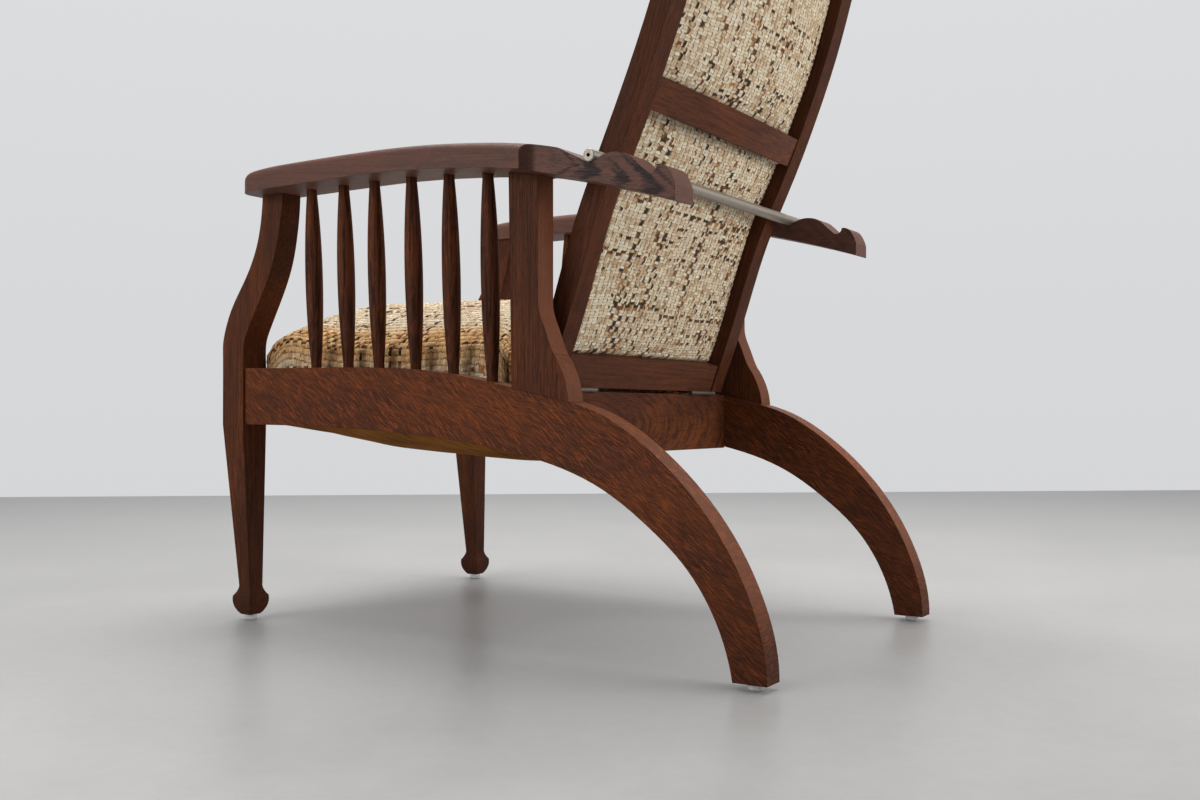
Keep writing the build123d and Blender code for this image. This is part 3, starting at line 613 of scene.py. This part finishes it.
def dress_rigid():
    """Rigid pieces keep their CAD shape and get their finish by name."""
    board_grain, board_across = (0, 1, -0.25), (0, 0.25, 1)
    finishes = {
        "side_board": oak("oak_board", board_grain, board_across, fleck=1.2, fleck_turn=-26, fleck_line=900,
                          stripe=0.75, banding=0.3, lit_share=0.33),
        "front_leg": oak("oak_leg", upright, lengthways, line=560, fleck=0.15, stripe=0.8, banding=0.6),
        "rear_post": oak("oak_post", upright, lengthways, line=560, fleck=0.15, stripe=0.7, banding=0.7,
                         pale=0.9, lit_share=0.3, light_way=lengthways),
        "post_ear": oak("oak_ear", upright, lengthways, fleck=0.2, stripe=0.5, banding=0.6, lit_share=0.25,
                        light_way=lengthways),
        "arm": oak("oak_arm", (0, 1, -0.1), (0, 0.1, 1), fleck=0.35, fleck_turn=40, fleck_line=420,
                   pink=0.50, stripe=0.6, gloss=0.16, zebra_from=bracket_start),
        "spindle": oak("oak_spindle", upright, sideways, fleck=0.25, stripe=0.6),
        "front_seat_rail": oak("oak_front_rail", sideways, upright, fleck=0.7, fleck_turn=15),
        "rear_seat_rail": oak("oak_rear_rail", sideways, upright, line=330, fleck=0.3, fleck_turn=15,
                              stripe=0.8, rings=(0.16, 0.30), banding=0.7),
        "seat_batten": oak("oak_batten", sideways, upright, fleck=0.2, stripe=0.9, pale=2.6),
        "back_stile": oak("oak_stile", (0, 0.3, 1), (0, 1, -0.3), line=420, fleck=0.12, stripe=0.4,
                          banding=0.5, pale=0.9),
        "back_bottom_rail": oak("oak_low_rail", sideways, upright, fleck=0.2, stripe=0.8, banding=0.5,
                                pink=0.1),
        "back_middle_rail": oak("oak_mid_rail", sideways, upright, fleck=0.2, stripe=0.9, banding=0.6,
                                pink=0.08),
        "back_top_rail": oak("oak_top_rail", sideways, upright, fleck=0.2, stripe=0.7, pink=0.15),
        "hinge": steel("hinge_metal", hinge_steel, stain=0.7),
        "support_rod": steel("rod_metal", rod_steel, stain=0.35),
        "front_glide": plastic("glide_white"),
        "rear_glide": plastic("glide_white_rear"),
    }
    for name, node in nodes.items():
        for start, material in finishes.items():
            if name.startswith(start):
                for place in node.material_slots:
                    place.material = material


# Soft goods
def smooth_noise(x, y, seed, waves=9):
    """A gentle random surface from a fixed set of sine waves, about -1 to 1."""
    rng = np.random.default_rng(seed)
    total = np.zeros(np.broadcast(x, y).shape)
    for turn, phase, size in zip(rng.uniform(0, math.pi, waves), rng.uniform(0, 2 * math.pi, waves),
                                 rng.uniform(0.6, 1.6, waves)):
        total += np.sin(size * (x * math.cos(turn) + y * math.sin(turn)) + phase)
    return total / math.sqrt(waves)


def thread_height(across, along):
    """How far the woven threads stand up at each place, from 0 to 1."""
    across, along = across / warp_pitch, along / weft_pitch
    warp, weft = np.floor(across), np.floor(along)
    dome_warp, dome_weft = np.sin(np.pi * (across - warp)), np.sin(np.pi * (along - weft))
    warp_height = dome_warp ** 0.5 * (0.3 + 0.7 * dome_weft)
    weft_height = dome_weft ** 0.5 * (0.3 + 0.7 * dome_warp)
    return np.where((warp + weft) % 2 < 1, warp_height, weft_height)


def grid_normals(points):
    """Unit normals of a grid of points, rows by columns by 3."""
    down, over = np.gradient(points, axis=0), np.gradient(points, axis=1)
    normal = np.cross(over, down)
    return normal / np.maximum(np.linalg.norm(normal, axis=2, keepdims=True), 1e-12)


def blurred(points, rounds):
    """The grid, evened out along both directions."""
    for _ in range(rounds):
        for axis in (0, 1):
            last = points.shape[axis] - 1
            before = points.take([0, *range(last)], axis)
            after = points.take([*range(1, last + 1), last], axis)
            points = (before + 2 * points + after) / 4
    return points


def grid_object(name, points, weave, material, closed, body):
    """A smooth mesh from a grid of points. A closed one joins its last column to its first and has ends."""
    rows, columns = points.shape[:2]
    index = np.arange(rows * columns).reshape(rows, columns)
    if closed:
        index = np.concatenate([index, index[:, :1]], axis=1)
    quads = np.stack([index[:-1, :-1], index[:-1, 1:], index[1:, 1:], index[1:, :-1]], axis=-1)
    faces = quads.reshape(-1, 4).tolist()
    if closed:
        faces += [index[0, :-1][::-1].tolist(), index[-1, :-1].tolist()]
    mesh = bpy.data.meshes.new(name)
    mesh.from_pydata(points.reshape(-1, 3).tolist(), [], faces)
    mesh.attributes.new("weave", "FLOAT_VECTOR", "POINT").data.foreach_set("vector", weave.reshape(-1))
    if closed:
        form = bmesh.new()
        form.from_mesh(mesh)
        bmesh.ops.remove_doubles(form, verts=form.verts, dist=weld_distance)
        form.to_mesh(mesh)
        form.free()
    mesh.shade_smooth()
    mesh.materials.append(material)
    piece = bpy.data.objects.new(name, mesh)
    bpy.context.collection.objects.link(piece)
    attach(piece, body)
    return piece


def blown_up(node, reach):
    """The CAD cushion as cloth: remeshed, made a little smaller, then filled by pressure as far as reach."""
    start = node.data.copy()
    shape = bpy.data.objects.new("soft_" + node.name, start)
    bpy.context.collection.objects.link(shape)
    remesh = shape.modifiers.new("remesh", "REMESH")
    remesh.mode = "VOXEL"
    remesh.voxel_size = voxel_size
    skin = bpy.data.meshes.new_from_object(shape.evaluated_get(bpy.context.evaluated_depsgraph_get()))
    shape.modifiers.clear()
    shape.data = skin
    count = len(skin.vertices)
    place, normal = np.empty(count * 3), np.empty(count * 3)
    skin.vertices.foreach_get("co", place)
    skin.vertex_normals.foreach_get("vector", normal)
    place = place.reshape(-1, 3) - start_inset * normal.reshape(-1, 3)
    skin.vertices.foreach_set("co", place.reshape(-1))
    skin.update()
    cloth = shape.modifiers.new("cloth", "CLOTH")
    cloth.settings.use_pressure = True
    cloth.settings.uniform_pressure_force = cloth_pressure
    cloth.settings.effector_weights.gravity = 0
    scene = bpy.context.scene
    for number in range(1, cloth_frames + 1):
        scene.frame_set(number)
    soft = shape.evaluated_get(bpy.context.evaluated_depsgraph_get()).to_mesh()
    moved = np.empty(count * 3)
    soft.vertices.foreach_get("co", moved)
    shape.modifiers.clear()
    scene.frame_set(1)
    step = moved.reshape(-1, 3) - place
    step -= step.mean(axis=0)
    length = np.linalg.norm(step, axis=1, keepdims=True)
    place = place + step * np.minimum(1, reach / np.maximum(length, 1e-9))
    low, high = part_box(node.name)
    place = np.clip(place, np.array(low), np.array(high))
    tree = BVHTree.FromPolygons(place.tolist(), [tuple(face.vertices) for face in skin.polygons])
    bpy.data.objects.remove(shape)
    return tree, place.min(axis=0), place.max(axis=0)


def sections(tree, centres, outwards, half_turn, rays=720, lower=14):
    """Closed sections round a line of centres, each found by rays all round.

    The upper part, half_turn to each side of outward, is fine, and the lower part has few points. Gives the
    points, how far each is off the middle of the cloth and how many of a section's points are upper ones.
    """
    shortest = 0.3
    side = Vector(sideways)
    angles = np.linspace(-math.pi, math.pi, rays, endpoint=False)
    upper_count = None
    rows, weave = [], []
    for centre, outward in zip(centres, outwards):
        ring = []
        for angle in angles:
            direction = side * math.sin(angle) + outward * math.cos(angle)
            hit = tree.ray_cast(centre, direction)[0]
            ring.append(hit if hit else centre)
        ring = np.array(ring)
        ring = np.concatenate([ring, ring[:1]])
        length = np.concatenate([[0], np.cumsum(np.linalg.norm(np.diff(ring, axis=0), axis=1))])
        turns = np.append(angles, math.pi)
        first, middle, last = (np.interp(turn, turns, length) for turn in (-half_turn, 0, half_turn))
        if upper_count is None:
            upper_count = 2 * round(max(last - first, shortest) / cloth_step / 2) + 1
        fine = np.linspace(first, last, upper_count)
        coarse = np.linspace(last, first + length[-1], lower + 2)[1:-1] % length[-1]
        spots = np.concatenate([fine, coarse])
        rows.append(np.stack([np.interp(spots, length, ring[:, axis]) for axis in range(3)], axis=-1))
        weave.append(np.concatenate([fine - middle, np.full(lower, last - middle)]))
    return np.array(rows), np.array(weave), upper_count


def seat_cushion():
    """The seat's cover, which reaches the side boards and goes down the front."""
    tree, low, high = blown_up(nodes["seat_cushion"], seat_swell)
    middle = Vector((0, 0, low[2] + seat_eye_height))
    up = Vector(upright)
    front_gap, rear_gap, side_gap, base_gap = 0.0012, 0.003, 0.001, 0.003
    widest_stretch = 2.0
    dense = np.linspace(low[1] + front_gap, high[1] - rear_gap, crest_samples)
    crest = [tree.ray_cast(Vector((0, y, middle.z)), up)[0].z for y in dense]
    along = np.concatenate([[0], np.cumsum(np.hypot(np.diff(dense), np.diff(crest)))])
    count = round(along[-1] / cloth_step)
    run = np.linspace(0, along[-1], count)
    stations = np.interp(run, along, dense)
    centres = [Vector((0, y, middle.z)) for y in stations]
    points, across, upper = sections(tree, centres, [up] * count, seat_half_turn)
    width = np.abs(points[..., 0]).max(axis=1, keepdims=True)
    points[..., 0] *= np.minimum((high[0] - side_gap) / width, widest_stretch)
    points, across, along = down_the_front(points, across, run, upper, low[2] + base_gap)
    return padded_piece("seat_tweed", points, across, along, upper, "chair_frame", "seat_cushion",
                        tweed("seat_tweed", gold_start))


def down_the_front(points, across, run, upper, base):
    """More rows of cloth before the first section, whose upper part is pulled over the edge down to base."""
    bulge = 0.0004
    fall = np.maximum(points[:1, :, 2] - base, 0)
    fall[:, upper:] = 0
    steps = round(fall.max() / cloth_step)
    share = np.linspace(1, 0, steps, endpoint=False)[:, None]
    front = np.repeat(points[:1], steps, axis=0)
    front[:, :upper, 1] -= bulge + bulge * share
    front[..., 2] -= share * fall
    points = np.concatenate([front, points])
    across = np.concatenate([np.repeat(across[:1], steps, axis=0), across])
    along = np.concatenate([-share * fall, np.repeat(run[:, None], points.shape[1], axis=1)])
    return points, across, along


def woven(across, along):
    """The places on the cloth with threads that wander a little, and how far the surface stands up there."""
    moved_across = across + thread_wander * smooth_noise(across * wander_rate, along * wander_rate, 3)
    moved_along = along + thread_wander * smooth_noise(across * wander_rate, along * wander_rate, 4)
    lift = thread_relief * (thread_height(moved_across, moved_along) - 0.75)
    wave = cloth_wave * smooth_noise(across * wave_rate, along * wave_rate, 5)
    return moved_across, moved_along, lift + wave


def padded_piece(name, points, across, along, upper, body, node_name, material=None):
    """The woven cover on a grid of sections, with its threads standing up."""
    points[:, :upper] = blurred(points[:, :upper], cover_softening)
    across, along, lift = woven(across, along)
    normal = grid_normals(points)
    lift[:, upper:] = 0
    centre_line = upper // 2
    from_inside = points[:, centre_line] - points.mean(axis=1)
    outward = np.sign((normal[:, centre_line] * from_inside).sum(axis=1).mean())
    points = points + outward * normal * lift[..., None]
    weave = np.stack([across, along, np.zeros_like(along)], axis=-1)
    cover = grid_object(name, points, weave, material or tweed(name), True, body)
    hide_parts(node_name)
    return cover


def node_tree(name):
    """A CAD node's mesh, ready for rays."""
    mesh = nodes[name].data
    return BVHTree.FromPolygons([vertex.co for vertex in mesh.vertices],
                                [tuple(face.vertices) for face in mesh.polygons])


def rear_line(tree, low, high):
    """Points up the middle of a face that looks to the rear, cloth_step apart, and where it looks there."""
    rear = Vector(lengthways)
    well_to_rear = 0.8
    spots = []
    for z in np.linspace(low[2], high[2], rear_samples)[1:-1]:
        hit, normal = tree.ray_cast(Vector((0, high[1] + ray_start, z)), -rear)[:2]
        if hit and normal.dot(rear) > well_to_rear:
            spots.append(hit)
    spots = np.array(spots)
    length = np.concatenate([[0], np.cumsum(np.linalg.norm(np.diff(spots, axis=0), axis=1))])
    run = np.linspace(0, length[-1], round(length[-1] / cloth_step))
    line = np.stack([np.interp(run, length, spots[:, axis]) for axis in range(3)], axis=-1)
    rising = blurred(np.gradient(line, axis=0)[:, None, :], line_softening)[:, 0]
    rising /= np.linalg.norm(rising, axis=1, keepdims=True)
    return line, run, np.stack([rising[:, 0], rising[:, 2], -rising[:, 1]], axis=-1)


def back_cushion():
    """The cover of the back's front pad."""
    tree, low, high = blown_up(nodes["back_cushion"], back_swell)
    line, run, rearward = rear_line(tree, low, high)
    centres = [Vector(point - back_eye_depth * way) for point, way in zip(line, rearward)]
    outwards = [Vector(-way) for way in rearward]
    points, across, upper = sections(tree, centres, outwards, back_half_turn, rays=1440)
    along = np.repeat(run[:, None], points.shape[1], axis=1)
    return padded_piece("back_tweed", points, across, along, upper, "backrest", "back_cushion")


def back_panel(name, node_name, offset):
    """Tweed over an outside-back panel, swollen by fill. Its border goes past the ends and is tucked in."""
    side_gap, start, fill, squareness = 0.0004, 0.05, 0.0045, 8
    reach, tuck = 0.0036, 0.005
    tree = node_tree(node_name)
    low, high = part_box(node_name)
    line, run, rearward = rear_line(tree, low, high)
    half = high[0] - side_gap
    xs = np.linspace(-half, half, round(2 * half / cloth_step))
    points = np.empty((len(run), len(xs), 3))
    for row, (point, way) in enumerate(zip(line, rearward)):
        origin, inward = Vector(point + start * way), Vector(-way)
        for column, x in enumerate(xs):
            hit = tree.ray_cast(origin + Vector((x, 0, 0)), inward)[0]
            points[row, column] = hit if hit else point + (x, 0, 0)
    share = np.linspace(-1, 1, len(run))[:, None]
    swell = fill * (1 - np.abs(xs / half) ** squareness) * (1 - np.abs(share) ** squareness)
    across, along = np.meshgrid(xs + offset, run + offset)
    across, along, lift = woven(across, along)
    normal = grid_normals(points)
    normal *= np.sign((normal * rearward[:, None, :]).sum(axis=2, keepdims=True))
    points = points + normal * (lift + swell)[..., None]
    points[0] -= reach * (line[1] - line[0]) / np.linalg.norm(line[1] - line[0])
    points[-1] += reach * (line[-1] - line[-2]) / np.linalg.norm(line[-1] - line[-2])
    points[[0, -1]] -= tuck * rearward[[0, -1]][:, None, :]
    points[1:-1, [0, -1]] -= tuck * rearward[1:-1, None, :]
    weave = np.stack([across, along, np.zeros_like(along)], axis=-1)
    cover = grid_object(name, points, weave, tweed(name + "_cloth"), False, "backrest")
    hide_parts(node_name)


def bottom_cloth():
    """Hessian tacked under the seat, sagging and a little creased."""
    tree = node_tree("seat_bottom_cloth")
    low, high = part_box("seat_bottom_cloth")
    edge, step, crease_height, eye_depth = 0.0005, 0.004, 0.0016, 0.05
    xs = np.linspace(low[0] + edge, high[0] - edge, round((high[0] - low[0]) / step))
    ys = np.linspace(low[1] + edge, high[1] - edge, round((high[1] - low[1]) / step))
    below, up = low[2] - eye_depth, Vector(upright)
    points = np.array([[tree.ray_cast(Vector((x, y, below)), up)[0] for x in xs] for y in ys])
    across, along = np.meshgrid(xs, ys)
    from_side, from_end = (np.minimum(1, 8 * np.minimum(v - v[0], v[-1] - v)) for v in (xs, ys))
    inside = np.minimum(4 * from_side[None] * from_end[:, None], 1)
    crease = smooth_noise(across * 30, along * 9, 11) + 0.5 * smooth_noise(across * 70, along * 60, 12)
    points[..., 2] += crease_height * inside * crease
    weave = np.stack([across, along, np.zeros_like(along)], axis=-1)
    sacking = hessian("hessian", sacking_brown, sacking_thread)
    cover = grid_object("bottom_hessian", points, weave, sacking, False, "chair_frame")
    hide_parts("seat_bottom_cloth")


def webbing():
    """Jute straps under the springs, woven over and under each other."""
    low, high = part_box("seat_webbing")
    step = 0.006
    middle = (low[2] + high[2]) / 2
    jute = hessian("jute", jute_tan, jute_thread, dark=0.2)
    for name, axis, ends in (("strap_along", 1, ["seat_batten_front", "seat_batten_rear"]),
                             ("strap_across", 0, ["seat_batten_left", "seat_batten_right"])):
        side = 1 - axis
        span = high[side] - low[side] - 2 * strap_margin
        for number in range(strap_count):
            centre = low[side] + strap_margin + span * (number + 0.5) / strap_count
            run = np.linspace(low[axis], high[axis], round((high[axis] - low[axis]) / step))
            wave = np.sin(math.pi * (strap_count * (run - run[0]) / (run[-1] - run[0]) + number + side))
            over = np.linspace(centre - strap_width / 2, centre + strap_width / 2, round(strap_width / step))
            points = np.empty((len(run), len(over), 3))
            points[..., axis], points[..., side] = run[:, None], over[None]
            points[..., 2] = middle + strap_wave * wave[:, None]
            weave = np.stack([*np.meshgrid(over, run), np.zeros(points.shape[:2])], axis=-1)
            strap = grid_object(f"{name}_{number + 1}", points, weave, jute, False, "chair_frame")
            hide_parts("seat_webbing")


back, right = make_camera()
make_world(back)
make_floor(back, right)
for light in lights:
    make_light(*light)
dress_rigid()
seat_cushion()
back_cushion()
back_panel("panel_tweed_lower", "back_panel_lower", 0.0)
back_panel("panel_tweed_upper", "back_panel_upper", upper_panel_cut)
bottom_cloth()
webbing()

bpy.context.scene.view_settings.view_transform = "Standard"
bpy.context.view_layer.update()
